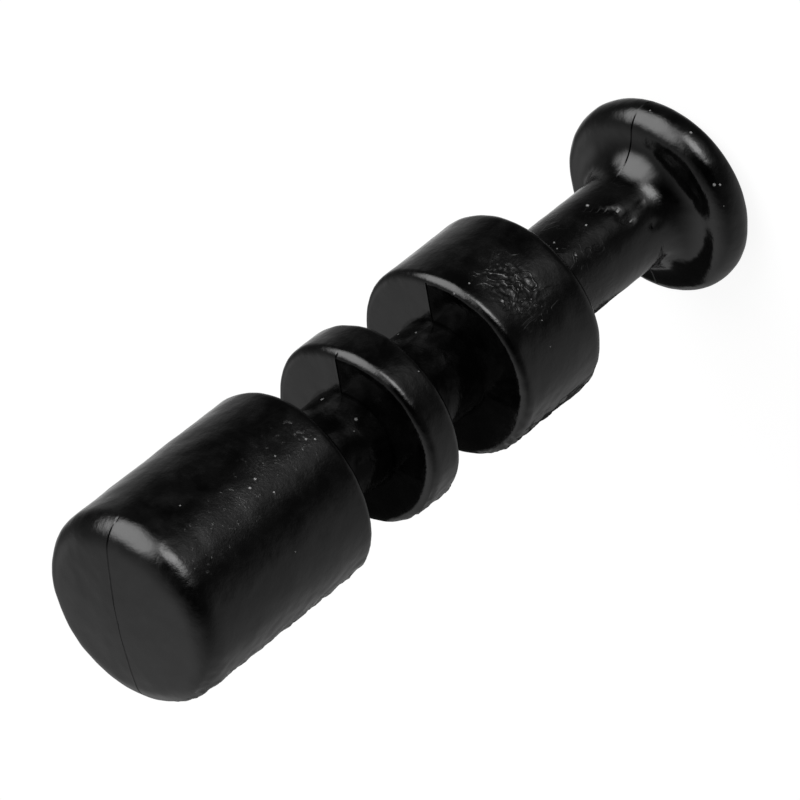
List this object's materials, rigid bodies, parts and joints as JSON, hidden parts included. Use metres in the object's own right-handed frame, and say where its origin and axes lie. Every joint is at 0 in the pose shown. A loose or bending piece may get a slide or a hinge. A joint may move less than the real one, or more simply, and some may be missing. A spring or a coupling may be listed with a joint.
{
  "type": "valve pin",
  "caption": "Moulded black plastic valve pin: domed nose land, seal grooves with a disc between, guide ring, stem and mushroom head",
  "frame": {"origin": "middle of the flat end of the mushroom head, on the pin's axis", "axes": "+Z along the pin from the head to the domed nose; X lies in the mould's parting plane, Y square to it"},
  "size_m": [0.008, 0.008, 0.0315],
  "materials": {
    "black_plastic": "moulded black plastic, glossy, with a fine grain and a hairline mould parting line"
  },
  "bodies": {
    "root": {"valve_pin": "black_plastic"}
  },
  "joints": []
}
